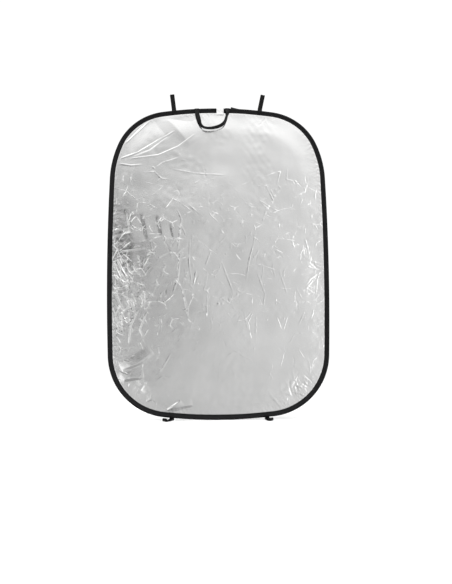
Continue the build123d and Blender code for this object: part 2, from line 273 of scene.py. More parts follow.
class Paint(Nodes):
    """A procedural material on one Principled shader."""

    def __init__(self, name, space="Object", **sockets):
        self.material = bpy.data.materials.new(name)
        self.material.use_nodes = True
        super().__init__(self.material.node_tree)
        self.shader = self.tree.nodes["Principled BSDF"]
        for socket, value in sockets.items():
            self.shader.inputs[socket.replace("_", " ")].default_value = value
        self.space = self.tree.nodes.new("ShaderNodeTexCoord").outputs[space]

    def stretched(self, scale):
        """The material's space, scaled by three numbers."""
        return self.node("ShaderNodeMapping", {"Vector": self.space, "Scale": scale}).outputs["Vector"]

    def noise(self, size, detail=3.0, rough=0.55, stretch=(1, 1, 1)):
        """Smooth noise from 0 to 1, its blobs about this size in metres."""
        space = self.stretched(stretch)
        link = {"Vector": space, "Scale": 1 / size, "Detail": detail, "Roughness": rough}
        return self.node("ShaderNodeTexNoise", link).outputs["Fac"]

    def wave(self, pitch, direction, distortion=0.0):
        """Even bands from 0 to 1, this far apart in metres."""
        link = {"Vector": self.space, "Scale": math.pi / 10 / pitch, "Distortion": distortion}
        return self.node("ShaderNodeTexWave", link, bands_direction=direction).outputs["Fac"]

    def along(self, axis):
        """Place along one axis of the material's space."""
        return self.node("ShaderNodeSeparateXYZ", {"Vector": self.space}).outputs[axis]

    def ridges(self, size, width, wander=0.35):
        """Bent lines between random cells about this size, in metres: 1 on a line, 0 this far off it."""
        drift = self.node("ShaderNodeTexNoise", {"Vector": self.space, "Scale": 0.7 / size, "Detail": 2.0})
        drift = self.node("ShaderNodeVectorMath", {0: drift.outputs["Color"], 1: (wander * size,) * 3},
                          operation="MULTIPLY")
        moved = self.node("ShaderNodeVectorMath", {0: self.space, 1: drift.outputs[0]}, operation="ADD")
        cells = self.node("ShaderNodeTexVoronoi", {"Vector": moved.outputs[0], "Scale": 1 / size},
                          feature="DISTANCE_TO_EDGE")
        return self.ramp(cells.outputs["Distance"], (0, 1.0), (width / size, 0.0))

    def ramp(self, value, *stops):
        """Value looked up between stops, each a place from 0 to 1 and a number or a colour."""
        made = self.node("ShaderNodeValToRGB", {"Fac": value})
        points = made.color_ramp.elements
        while len(points) < len(stops):
            points.new(0.5)
        for point, (place, colour) in zip(points, stops):
            point.position = place
            point.color = (*colour, 1) if isinstance(colour, tuple) else (colour, colour, colour, 1)
        return made.outputs["Color"]

    def to(self, socket, value):
        self.tree.links.new(value, self.shader.inputs[socket])

    def vary(self, socket, noise, low, high):
        """A socket that goes from low to high with a noise."""
        self.to(socket, self.ramp(noise, (0.3, low), (0.7, high)))

    def bump(self, height, distance, strength=1.0, before=None):
        link = {"Height": height, "Distance": distance, "Strength": strength}
        if before is not None:
            link["Normal"] = before
        return self.node("ShaderNodeBump", link).outputs["Normal"]


def silver_material():
    paint = Paint("silver_coated_taffeta", Metallic=1.0)
    blotch = paint.noise(0.16, 4.0)
    paint.vary("Base Color", blotch, (0.805, 0.805, 0.80), (0.875, 0.875, 0.87))
    rub = paint.noise(0.035, 5.0, 0.65)
    paint.vary("Roughness", rub, 0.13, 0.23)
    # Creases too fine for the mesh: three nets of ridges, each broken up, most of them at mid height
    share = paint.math("DIVIDE", paint.along("Z"), 1.7)
    band = paint.ramp(share, (0.03, 0.25), (0.30, 1.0), (0.66, 1.0), (0.80, 0.12))
    left = paint.ramp(paint.plus(paint.along("X"), 0.6), (0.06, 1.0), (0.36, 0.0))
    crumpled = paint.times(left, paint.ramp(share, (0.22, 0), (0.34, 1.0), (0.50, 1.0), (0.60, 0)))
    patches = paint.plus(paint.noise(0.05), paint.times(crumpled, 0.11))
    long_gaps = paint.ramp(paint.noise(0.06), (0.48, 0), (0.60, 1))
    long_folds = paint.times(paint.ridges(0.12, 2.6 * MM), long_gaps)
    short_folds = paint.times(paint.ridges(0.05, 2.2 * MM), paint.ramp(patches, (0.52, 0), (0.66, 1)))
    hair_folds = paint.times(paint.ridges(0.022, 1.6 * MM, 0.7), paint.ramp(patches, (0.50, 0), (0.66, 1)))
    folds = paint.plus(paint.times(long_folds, 0.85), paint.times(short_folds, 0.6))
    folds = paint.plus(folds, paint.times(hair_folds, 0.28))
    creased = paint.bump(paint.times(folds, band), 0.6 * MM, 1.0)
    crumple = paint.bump(paint.noise(0.020, 3.0, 0.5), 0.5 * MM, 0.16, creased)
    fine = paint.bump(paint.noise(0.006, 3.0, 0.6), 0.12 * MM, 0.12, crumple)
    threads = paint.times(paint.wave(0.42 * MM, "X"), paint.wave(0.36 * MM, "Z"))
    paint.to("Normal", paint.bump(threads, 0.02 * MM, 0.25, fine))
    return paint.material


def white_material():
    paint = Paint("white_taffeta", Roughness=0.62, Sheen_Weight=0.25)
    blotch = paint.noise(0.2, 4.0)
    paint.vary("Base Color", blotch, (0.71, 0.71, 0.70), (0.77, 0.77, 0.765))
    paint.vary("Roughness", paint.noise(0.03), 0.55, 0.70)
    crumple = paint.bump(paint.noise(0.018, 4.0, 0.6), 0.5 * MM, 0.3)
    threads = paint.times(paint.wave(0.42 * MM, "X"), paint.wave(0.36 * MM, "Z"))
    paint.to("Normal", paint.bump(threads, 0.05 * MM, 0.6, crumple))
    return paint.material


def binding_material():
    paint = Paint("black_binding_tape", "UV", Specular_IOR_Level=0.12, Sheen_Weight=0.03)
    worn = paint.noise(0.05, 5.0, 0.6, (1, 4, 1))
    dark = paint.ramp(worn, (0.25, (0.0045, 0.0045, 0.005)), (0.75, (0.010, 0.010, 0.0105)))
    paint.to("Base Color", dark)
    paint.vary("Roughness", paint.noise(0.01), 0.50, 0.68)
    ribs = paint.wave(0.9 * MM, "X", 0.3)
    weave = paint.times(ribs, paint.ramp(paint.wave(0.5 * MM, "Y"), (0, 0.6), (1, 1.0)))
    soft = paint.bump(paint.noise(0.012, 3.0), 0.4 * MM, 0.3)
    paint.to("Normal", paint.bump(weave, 0.15 * MM, 0.8, soft))
    return paint.material


def webbing_material(name, light):
    paint = Paint(name, "UV", Specular_IOR_Level=0.12, Sheen_Weight=0.03)
    worn = paint.noise(0.03, 5.0, 0.6)
    low, high = 0.5 * light, 1.3 * light
    dark = paint.ramp(worn, (0.25, (low, low, 1.05 * low)), (0.75, (high, high, 1.05 * high)))
    paint.to("Base Color", dark)
    paint.vary("Roughness", paint.noise(0.008), 0.50, 0.70)
    cords = paint.wave(1.5 * MM, "Y", 0.2)
    picks = paint.wave(1.1 * MM, "X", 0.4)
    weave = paint.plus(cords, paint.times(picks, 0.7))
    paint.to("Normal", paint.bump(weave, 0.22 * MM, 0.8))
    return paint.material


def thread_material(name, colour):
    paint = Paint(name, "UV", Roughness=0.5, Specular_IOR_Level=0.3)
    fade = paint.noise(0.004, 2.0)
    dim = tuple(0.75 * c for c in colour)
    paint.vary("Base Color", fade, dim, colour)
    twist = paint.wave(0.35 * MM, "DIAGONAL")
    paint.to("Normal", paint.bump(twist, 0.08 * MM, 0.7))
    return paint.material


def label_material():
    paint = Paint("woven_satin_label", "UV", Sheen_Weight=0.3)
    fade = paint.noise(0.012, 4.0)
    paint.vary("Base Color", fade, (0.80, 0.80, 0.80), (0.90, 0.90, 0.895))
    paint.vary("Roughness", paint.noise(0.004), 0.40, 0.55)
    threads = paint.times(paint.wave(0.5 * MM, "X"), paint.wave(0.3 * MM, "Y"))
    paint.to("Normal", paint.bump(threads, 0.06 * MM, 0.7))
    return paint.material


def steel_material(name, dark, light, low, high):
    paint = Paint(name, Metallic=1.0)
    stain = paint.noise(0.02, 5.0, 0.6)
    paint.vary("Base Color", stain, dark, light)
    paint.vary("Roughness", paint.noise(0.004, 4.0), low, high)
    grain = paint.noise(0.002, 4.0, 0.7, (1, 8, 1))
    paint.to("Normal", paint.bump(grain, 0.03 * MM, 0.5))
    return paint.material


def rubber_material():
    paint = Paint("shrink_tube", Specular_IOR_Level=0.4)
    tint = paint.noise(0.01)
    paint.vary("Base Color", tint, (0.018, 0.018, 0.019), (0.032, 0.032, 0.034))
    paint.vary("Roughness", paint.noise(0.003), 0.42, 0.60)
    paint.to("Normal", paint.bump(paint.noise(0.0015), 0.06 * MM, 0.5))
    return paint.material


silver = silver_material()
white = white_material()
tape = binding_material()
loop_webbing = webbing_material("loop_webbing", 0.006)
handle_webbing = webbing_material("handle_webbing", 0.007)
black_thread = thread_material("black_thread", (0.012, 0.012, 0.0125))
white_thread = thread_material("white_thread", (0.80, 0.80, 0.79))
label_cloth = label_material()

for node, material in (
    ("spring_hoop", steel_material("blued_spring_steel", (0.16, 0.18, 0.24), (0.36, 0.37, 0.40), 0.22, 0.42)),
    ("splice_ferrule", steel_material("plated_splice", (0.52, 0.52, 0.53), (0.68, 0.68, 0.69), 0.25, 0.45)),
    ("splice_shrink_tube", rubber_material()),
):
    slots = frame["nodes"][node].data.materials
    slots.clear()
    slots.append(material)

# ---- The two cloths ----


def swell(x, z, size, seed, waves=24):
    """Smooth random waves about this long, their usual height 1."""
    rng = np.random.default_rng(seed)
    total = np.zeros_like(x)
    for _ in range(waves):
        way, phase = rng.uniform(0, 2 * math.pi, 2)
        number = 2 * math.pi / size * rng.uniform(0.6, 1.5)
        total += np.sin(number * (x * math.cos(way) + z * math.sin(way)) + phase)
    return total / math.sqrt(waves / 2)


def step(value, low, high):
    """0 below low, 1 above high, smooth between."""
    t = np.clip((value - low) / (high - low), 0, 1)
    return t * t * (3 - 2 * t)


# A crease whose half width is below this has straight flanks, or is also broken into short bits
NARROW, BROKEN = 14 * MM, 2.65 * MM


def add_crease(height, x, z, line, rise, half, ease=1.0):
    """Add a ridge, or with a rise below 0 a valley, along a line of points. It fades at both ends.

    Its flank on the line's right-hand side is ease times as wide as the other.
    """
    line = np.array(line, float)
    reach = max(5, 1.5 * ease) * half
    near = ((x > line[:, 0].min() - reach) & (x < line[:, 0].max() + reach)
            & (z > line[:, 1].min() - reach) & (z < line[:, 1].max() + reach))
    if not near.any():
        return
    px, pz = x[near], z[near]
    best = np.full(px.shape, 9.0)
    place, wider = np.zeros_like(px), np.ones_like(px)
    far = lengths(line)
    for a, b, start in zip(line, line[1:], far):
        way = b - a
        long = math.hypot(*way)
        t = np.clip(((px - a[0]) * way[0] + (pz - a[1]) * way[1]) / long ** 2, 0, 1)
        away = np.hypot(px - a[0] - t * way[0], pz - a[1] - t * way[1])
        closer = away < best
        best = np.where(closer, away, best)
        place = np.where(closer, start + t * long, place)
        cross = way[0] * (pz - a[1]) - way[1] * (px - a[0])
        wider = np.where(closer, np.where(cross < 0, ease, 1.0), wider)
    share = place / far[-1]
    ends = np.sqrt(np.clip(np.sin(math.pi * share), 0, 1))
    blunt = 0.25 * half
    off = (np.sqrt(best ** 2 + blunt ** 2) - blunt) / (half * wider)
    profile = np.clip(1 - off / 1.5, 0, None) if half < NARROW else np.exp(-off)
    if half < BROKEN:
        profile = profile * (0.35 + 0.65 * step(swell(px, pz, 0.03, 61, 12), -0.9, 0.6))
    height[near] += rise * ends * profile


# The silver side's main creases: height in mm (below 0 is a valley), half width in mm, and
# the line along it as x, z in metres
SILVER_CREASES = [
    (1.5, 26, [(-0.33, 1.7), (-0.24, 1.61), (-0.15, 1.5)]),
    (-0.8, 18, [(-0.37, 1.69), (-0.33, 1.6), (-0.27, 1.54)]),
    (-1.2, 18, [(-0.34, 1.66), (-0.22, 1.645), (-0.08, 1.66)]),
    (1.44, 3.4, [(-0.36, 1.66), (-0.44, 1.58), (-0.52, 1.5)]),
    (1.2, 3.4, [(-0.24, 1.58), (-0.37, 1.5), (-0.44, 1.455), (-0.54, 1.42)]),
    (-1.2, 6, [(-0.27, 1.565), (-0.38, 1.475), (-0.47, 1.44)]),
    (1.2, 2.7, [(-0.13, 1.56), (-0.22, 1.49), (-0.33, 1.44), (-0.48, 1.42)]),
    (0.88, 2.4, [(-0.2, 1.475), (-0.22, 1.425), (-0.31, 1.395), (-0.35, 1.36)]),
    (0.88, 2.4, [(-0.41, 1.34), (-0.35, 1.345), (-0.31, 1.305), (-0.27, 1.305)]),
    (0.96, 2.7, [(-0.54, 1.39), (-0.48, 1.38), (-0.42, 1.385)]),
    (0.64, 2.4, [(-0.25, 1.36), (-0.12, 1.335), (0.04, 1.325)]),
    (0.96, 2.4, [(0.26, 1.315), (0.31, 1.335), (0.345, 1.345), (0.325, 1.27)]),
    (0.8, 2.4, [(0.385, 1.37), (0.38, 1.3), (0.44, 1.285), (0.47, 1.29)]),
    (0.64, 2.4, [(0.22, 1.325), (0.17, 1.26)]),
    (0.96, 2.4, [(0.35, 1.245), (0.31, 1.2), (0.29, 1.245)]),
    (1.04, 2.4, [(0.26, 1.28), (0.305, 1.18), (0.26, 1.12), (0.235, 1.03)]),
    (0.96, 2.4, [(0.5, 1.29), (0.48, 1.23), (0.41, 1.185)]),
    (0.96, 2.4, [(0.205, 1.005), (0.19, 0.93), (0.165, 0.84), (0.15, 0.735)]),
    (0.72, 2.4, [(0.15, 0.685), (0.08, 0.645)]),
    (0.96, 2.4, [(0.02, 0.83), (0.05, 0.745), (0.08, 0.67)]),
    (0.96, 2.4, [(0.21, 0.775), (0.25, 0.66), (0.235, 0.575)]),
    (0.8, 2.4, [(0.33, 0.785), (0.37, 0.655)]),
    (0.9, 2.4, [(0.43, 1.015), (0.4, 0.96), (0.41, 0.92), (0.44, 0.93)]),
    (1.1, 2.4, [(0.47, 0.98), (0.49, 0.9), (0.495, 0.86)]),
    (0.8, 2.4, [(0.555, 0.8), (0.535, 0.74), (0.525, 0.66)]),
    (1.2, 2.4, [(-0.225, 1.13), (-0.2, 1.075), (-0.21, 0.99), (-0.22, 0.91)]),
    (1.12, 2.4, [(-0.16, 1.155), (-0.12, 1.12)]),
    (1.2, 2.4, [(-0.21, 0.845), (-0.22, 0.74), (-0.245, 0.67)]),
    (1.12, 2.4, [(-0.22, 0.74), (-0.19, 0.67), (-0.16, 0.53)]),
    (0.96, 2.4, [(-0.155, 0.96), (-0.16, 0.84), (-0.145, 0.725)]),
    (1.04, 2.4, [(-0.285, 0.825), (-0.31, 0.755)]),
    (1.04, 2.4, [(-0.12, 0.795), (-0.135, 0.71)]),
    (0.96, 2.4, [(-0.04, 0.9), (-0.07, 0.82)]),
    (0.88, 2.4, [(-0.06, 0.665), (-0.065, 0.54)]),
    (0.96, 2.4, [(-0.305, 0.675), (-0.315, 0.62)]),
    (0.88, 2.4, [(-0.37, 0.65), (-0.43, 0.59)]),
    (0.72, 2.7, [(-0.53, 0.895), (-0.38, 0.915)]),
    (1.76, 3.4, [(-0.575, 0.86), (-0.545, 0.79), (-0.51, 0.72)]),
    (1.6, 3.4, [(-0.545, 0.85), (-0.49, 0.74)]),
    (1.52, 3.4, [(-0.57, 0.69), (-0.545, 0.66), (-0.515, 0.58)]),
    (1.44, 2.7, [(-0.485, 0.6), (-0.525, 0.55), (-0.52, 0.5)]),
    (1.36, 2.7, [(-0.43, 0.58), (-0.47, 0.49), (-0.475, 0.4)]),
    (1.2, 2.7, [(-0.385, 0.565), (-0.42, 0.475), (-0.4, 0.43)]),
    (0.72, 2.7, [(-0.255, 0.345), (-0.315, 0.24)]),
    (0.64, 2.4, [(0.135, 0.565), (0.155, 0.47)]),
    (0.64, 2.4, [(0.2, 0.555), (0.195, 0.43)]),
    (0.5, 9, [(0.28, 0.1), (0.37, 0.16), (0.42, 0.24)]),
    (-0.4, 9, [(0.25, 0.1), (0.33, 0.15), (0.39, 0.22)]),
]

# Pleats, each steep on one side and running out slowly on the side to the right of its line
PLEAT_EASE = 3.5
PLEATS = [
    (-1.2, 11, [(-0.515, 1.13), (-0.485, 1.0)]),
    (-1.55, 13, [(-0.43, 1.105), (-0.4, 0.955)]),
    (-1.55, 12, [(-0.345, 1.095), (-0.32, 0.975)]),
    (-1.1, 8, [(-0.27, 1.05), (-0.255, 0.965)]),
    (-0.8, 8, [(-0.495, 0.85), (-0.505, 0.79)]),
    (-0.8, 8, [(-0.485, 0.77), (-0.5, 0.7)]),
    (-0.8, 7, [(-0.42, 0.72), (-0.44, 0.67)]),
    (-1.0, 8, [(-0.53, 0.64), (-0.545, 0.57)]),
    (-1.0, 8, [(-0.475, 0.64), (-0.495, 0.57)]),
    (2.7, 9, [(-0.35, 0.355), (-0.42, 0.3), (-0.515, 0.262)]),
    (3.0, 9, [(-0.395, 0.228), (-0.47, 0.218), (-0.535, 0.205)]),
    (3.0, 5.5, [(-0.295, 0.035), (-0.25, 0.065), (-0.2, 0.1)]),
    (2.0, 6.5, [(-0.14, 0.08), (-0.2, 0.068), (-0.255, 0.042)]),
]


def stray_creases(height, x, z, count, seed, crowd, scale=1.0):
    """Short bent creases at random places, kept where crowd(x, z) is above a random share."""
    rng = np.random.default_rng(seed)
    made = 0
    while made < count:
        cx, cz = rng.uniform(-0.58, 0.58), rng.uniform(0.04, 1.66)
        share, rise = rng.uniform(0, 1), rng.uniform(-1, 1)
        long, half = rng.uniform(0.02, 0.09), rng.uniform(2.0, 2.8)
        way = math.radians(rng.normal(90, 28))
        bends = rng.uniform(-0.5, 0.5, 3)
        if crowd(cx, cz) < share:
            continue
        line = [(cx, cz)]
        for bend in bends:
            way += bend
            a, b = line[-1]
            line.append((a + scale * long / 3 * math.cos(way), b + scale * long / 3 * math.sin(way)))
        tall = math.copysign(0.35 + 0.4 * abs(rise), rise)
        add_crease(height, x, z, line, tall * scale * MM, half * scale * MM)
        made += 1


# Fans of small folds that run in from the rim: their middle as x, z in metres, their way and its
# spread in degrees, how many, their length in metres, height and half width in mm, and a seed
FANS = [
    ((0.47, 0.15), 128, 26, 24, 0.10, 0.45, 4.0, 51),
    ((0.40, 0.09), 118, 30, 14, 0.14, 0.5, 5.0, 52),
    ((-0.46, 0.15), 48, 24, 9, 0.08, 0.5, 4.0, 53),
    ((0.57, 0.79), 183, 30, 14, 0.16, 0.6, 4.0, 54),
    ((0.57, 0.98), 200, 40, 7, 0.06, 0.8, 3.0, 55),
    ((0.40, 1.29), -70, 60, 16, 0.05, 0.6, 2.4, 59),
    ((0.00, 0.60), 100, 60, 14, 0.05, 0.6, 2.4, 60),
    ((-0.56, 0.78), -62, 22, 20, 0.10, 1.2, 3.0, 56),
    ((-0.54, 0.56), -75, 26, 22, 0.09, 1.1, 3.0, 57),
    ((-0.48, 0.64), -60, 30, 20, 0.08, 1.0, 3.0, 58),
]


def fan(height, x, z, centre, way, spread, count, long, rise, half, seed):
    """Creases side by side or spread out, from about one place at the rim."""
    rng = np.random.default_rng(seed)
    across = math.radians(way + 90)
    for _ in range(count):
        turn = math.radians(rng.normal(way, spread / 2))
        aside = rng.normal(0, 0.045)
        reach = long * rng.uniform(0.4, 1.2)
        bend = rng.normal(0, 0.35)
        spot = (centre[0] + aside * math.cos(across), centre[1] + aside * math.sin(across))
        line = [spot]
        for part in range(3):
            turn += bend * part
            spot = (spot[0] + reach / 3 * math.cos(turn), spot[1] + reach / 3 * math.sin(turn))
            line.append(spot)
        size = rise * rng.uniform(0.35, 1.1) * rng.choice((-1, 1, 1))
        add_crease(height, x, z, line, size * MM, half * rng.uniform(0.8, 1.3) * MM)


def puckers(place, depth, seed, size):
    """Small folds that run in from the seam, stronger along some stretches of the rim than others at random."""
    rng = np.random.default_rng(seed)
    total = np.zeros_like(place)
    for _ in range(16):
        phase, rate, lean = rng.uniform(0, 2 * math.pi), rng.uniform(0.6, 1.8), rng.uniform(-0.8, 0.8)
        total += np.sin(2 * math.pi * rate / size * (place + lean * depth) + phase)
    strong = 0.5 + 0.5 * swell(place, 0 * place, 0.5, seed + 1)
    inwards = np.clip(depth - BINDING_W, 0, None)
    return total / math.sqrt(8) * np.clip(strong, 0.15, 1.6) * np.exp(-inwards / 0.028)


COARSE = 4      # the cloths' hidden faces have cells this many times as long as the seen ones


def cloth_grid(cell):
    """Points spread over the cloth between its four sides, each running from corner to corner."""
    # A corner is the middle of the two corner turns together
    half_turn = math.radians(40)
    corners = [RIM_LENGTHS[0] + RIM[1][3] * half_turn,
               sum(RIM_LENGTHS[:4]) + RIM[4][3] * (half_turn - RIM[3][4])]
    corners += [RIM_LENGTH - corners[1], RIM_LENGTH - corners[0]]
    right, top = corners[1] - corners[0], corners[2] - corners[1]
    across, up = (COARSE * round(side / cell / COARSE) for side in (top, right))

    def side(start, end, count):
        point, along, inwards = rim_at(np.linspace(start, end, count + 1))
        return (point + inwards * CLOTH_INSET)[:, (0, 2)]

    bottom = side(corners[3] - RIM_LENGTH, corners[0], across)
    top = side(corners[2], corners[1], across)
    left = side(corners[3], corners[2], up)
    right = side(corners[0], corners[1], up)
    u = np.linspace(0, 1, across + 1)[:, None, None]
    v = np.linspace(0, 1, up + 1)[None, :, None]
    between = (1 - v) * bottom[:, None] + v * top[:, None] + (1 - u) * left[None] + u * right[None]
    flat = ((1 - u) * (1 - v) * bottom[0] + u * (1 - v) * bottom[-1]
            + (1 - u) * v * top[0] + u * v * top[-1])
    return between - flat


def rim_distance(x, z):
    """How far in from the rim's edge each point is, and how far round the rim the nearest edge is."""
    spots = np.arange(0, RIM_LENGTH, 2 * MM)
    edge = rim_at(spots)[0]
    tree = KDTree(len(edge))
    for number, point in enumerate(edge):
        tree.insert(point, number)
    tree.balance()
    found = [tree.find((px, 0, pz)) for px, pz in zip(x.ravel().tolist(), z.ravel().tolist())]
    depth = np.array([f[2] for f in found]).reshape(x.shape)
    place = spots[[f[1] for f in found]].reshape(x.shape)
    return depth, place


def cloth(name, material, cell, side, height):
    """One cloth as a closed sheet. side is -1 for the silver face and 1 for the white one."""
    grid = cloth_grid(cell)
    x, z = grid[..., 0], grid[..., 1]
    depth, place = rim_distance(x, z)
    free = step(depth, BINDING_W - 2 * MM, BINDING_W + 30 * MM)
    seam = step(depth, BINDING_W - 1.5 * MM, BINDING_W + 4 * MM)
    lift = step(depth, BINDING_W - 2 * MM, BINDING_W + 120 * MM)
    warp = 1.3 * MM * lift * swell(x, z, 0.62, 3)
    out = np.clip(lift * 2.2 * MM + height(x, z, depth, place, free, seam), 0, None)
    hidden = warp + side * 0.12 * MM
    seen = np.stack((x, hidden + side * (CLOTH_T + out), z), -1)
    back = np.stack((x, hidden, z), -1)[::COARSE, ::COARSE]
    if side > 0:
        seen, back = seen[:, ::-1], back[:, ::-1]
    shape = Shape()
    for face in (seen, back[:, ::-1]):
        rows, columns = face.shape[:2]
        shape.grid(face, np.linspace(0, 1.16, rows), np.linspace(0, 1.67, columns))
    # The strip all round that joins the two faces
    outer = border(seen.shape[:2])
    inner = border(back.shape[:2], backwards=True) + seen.shape[0] * seen.shape[1]
    for number in range(len(inner) - 1):
        first = number * COARSE
        ring = outer[first:first + COARSE + 1][::-1].tolist() + inner[number:number + 2].tolist()
        shape.faces.append(ring)
        shape.uvs.append(np.zeros((len(ring), 2)))
    return shape.make(name, material)


def border(size, backwards=False):
    """Numbers of the points round a grid's edge, its columns numbered backwards where it was flipped."""
    number = np.arange(size[0] * size[1]).reshape(size)
    if backwards:
        number = number[:, ::-1]
    return np.concatenate((number[:-1, 0], number[-1, :-1], number[:0:-1, -1], number[0, ::-1]))


def silver_height(x, z, depth, place, free, seam):
    out = np.zeros_like(x)
    for rise, half, line in SILVER_CREASES:
        add_crease(out, x, z, line, rise * MM, half * MM)

    def crowd(cx, cz):
        middle = math.exp(-((cz - 0.85) / 0.38) ** 2)
        left = math.exp(-((cx + 0.54) / 0.10) ** 2) * math.exp(-((cz - 0.65) / 0.25) ** 2)
        return 0.10 + 0.7 * middle + 0.9 * left

    for rise, half, line in PLEATS:
        add_crease(out, x, z, line, rise * MM, half * MM, PLEAT_EASE)
    stray_creases(out, x, z, 100, 11, crowd)
    for fold_fan in FANS:
        fan(out, x, z, *fold_fan)
    out += 0.10 * MM * swell(x, z, 0.05, 21) * step(swell(x, z, 0.3, 22), -0.5, 1.5)
    out += 0.2 * MM * swell(x, z, 0.16, 23)
    return free * out + seam * 0.20 * MM * (1 + puckers(place, depth, 31, 0.034))


def white_height(x, z, depth, place, free, seam):
    out = np.zeros_like(x)
    stray_creases(out, x, z, 240, 12, lambda cx, cz: 0.25 + 0.6 * math.exp(-((cz - 0.8) / 0.4) ** 2), 1.9)
    out += 0.3 * MM * swell(x, z, 0.06, 24) * step(swell(x, z, 0.3, 25), -0.5, 1.5)
    out += 0.6 * MM * swell(x, z, 0.18, 26)
    return free * out + seam * 0.5 * MM * (1 + puckers(place, depth, 32, 0.032))


SILVER_CELL = 2.4 * MM
WHITE_CELL = 4.0 * MM
silver_cloth = cloth("silver_cloth_creased", silver, SILVER_CELL, -1, silver_height)
white_cloth = cloth("white_cloth_creased", white, WHITE_CELL, 1, white_height)
for obj, node, slot in (
    (silver_cloth, "silver_fabric", "silver_cloth"),
    (white_cloth, "white_fabric", "white_cloth"),
):
    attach(obj, "panel")
    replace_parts(obj, node)

# ---- Binding and its seam ----


def skin_half(drop):
    """Half of the tape's section from the nose inwards, as in and out, this far under its outside."""
    turn = np.radians((180, 162, 144, 126, 108, 92))
    nose = [(NOSE_R + (NOSE_R - drop) * math.cos(a), (NOSE_R - drop) * math.sin(a)) for a in turn]
    rest = ((8.0, 5.45), (10.2, 4.75), (12.4, 3.85), (14.8, 2.85), (17.4, 2.0), (20.0, 1.45),
            (22.2, 1.3), (23.4, 1.2), (24.0, 1.12), (24.6, 1.2), (25.8, 1.3), (27.0, 1.3))
    return np.array(nose + [(a * MM, max(b * MM - drop, 0.4 * MM)) for a, b in rest])


outer, inner = skin_half(0), skin_half(TAPE_T)
flip = np.array((1, -1))
section = np.concatenate((outer, inner[::-1], (inner * flip)[1:], (outer * flip)[:0:-1]))
turns = 4 * MM
spots = np.arange(int(RIM_LENGTH / turns)) * (RIM_LENGTH / int(RIM_LENGTH / turns))
point, along, inwards = rim_at(spots)
ripple = swell(spots, 0 * spots, 0.035, 41)[:, None] * step(section[:, 0], 10 * MM, 25 * MM)[None]
drift = swell(spots, 0 * spots, 0.21, 42)[:, None] * 0.25 * MM * step(section[:, 0], 12 * MM, 27 * MM)[None]
depths = section[:, 0] + drift
outs = section[:, 1] + np.sign(section[:, 1]) * 0.10 * MM * (1 + ripple)
points = point[:, None] + inwards[:, None] * depths[..., None] + FRONT * outs[..., None]
shape = Shape()
turned = np.vstack((section, section[:1]))
shape.grid(points, np.append(spots, RIM_LENGTH), lengths(turned), close_u=True, close_v=True)
binding = shape.make("rim_binding_tape", tape)
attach(binding, "panel")
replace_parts(binding, "edge_binding")

pitch = 4 * MM
count = int(RIM_LENGTH / pitch)
seam_spots = (np.arange(count) + 0.5) * RIM_LENGTH / count
point, along, inwards = rim_at(seam_spots)
for name, node, face in (
    ("needle_thread_stitches", "binding_needle_thread", 1),
    ("bobbin_thread_stitches", "binding_bobbin_thread", -1),
):
    normal = np.tile(FRONT * face, (count, 1))
    middle = point + inwards * SEAM_IN + normal * (FLANGE_OUT + 0.02 * MM)
    seam_row = stitches(name, black_thread, middle, along, normal, 3.3 * MM, 0.8 * MM, 0.6 * MM)
    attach(seam_row, "panel")
    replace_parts(seam_row, node)

# ---- Webbing over the rim ----


def over_rim(gap, start, reach, front):
    """Line over one side of the rim from its outside to reach, as in and out, this far off the skin."""
    line = [(NOSE_R - (NOSE_R + gap) * math.cos(a), (NOSE_R + gap) * math.sin(a)) for a in start]
    line += [(10 * MM, 5.0 * MM + gap), (14 * MM, 3.6 * MM + gap), (18 * MM, 2.1 * MM + gap)]
    line += [(20.5 * MM, FLANGE_OUT + gap), (reach, FLANGE_OUT + gap)]
    return np.array(line) * (1, front)


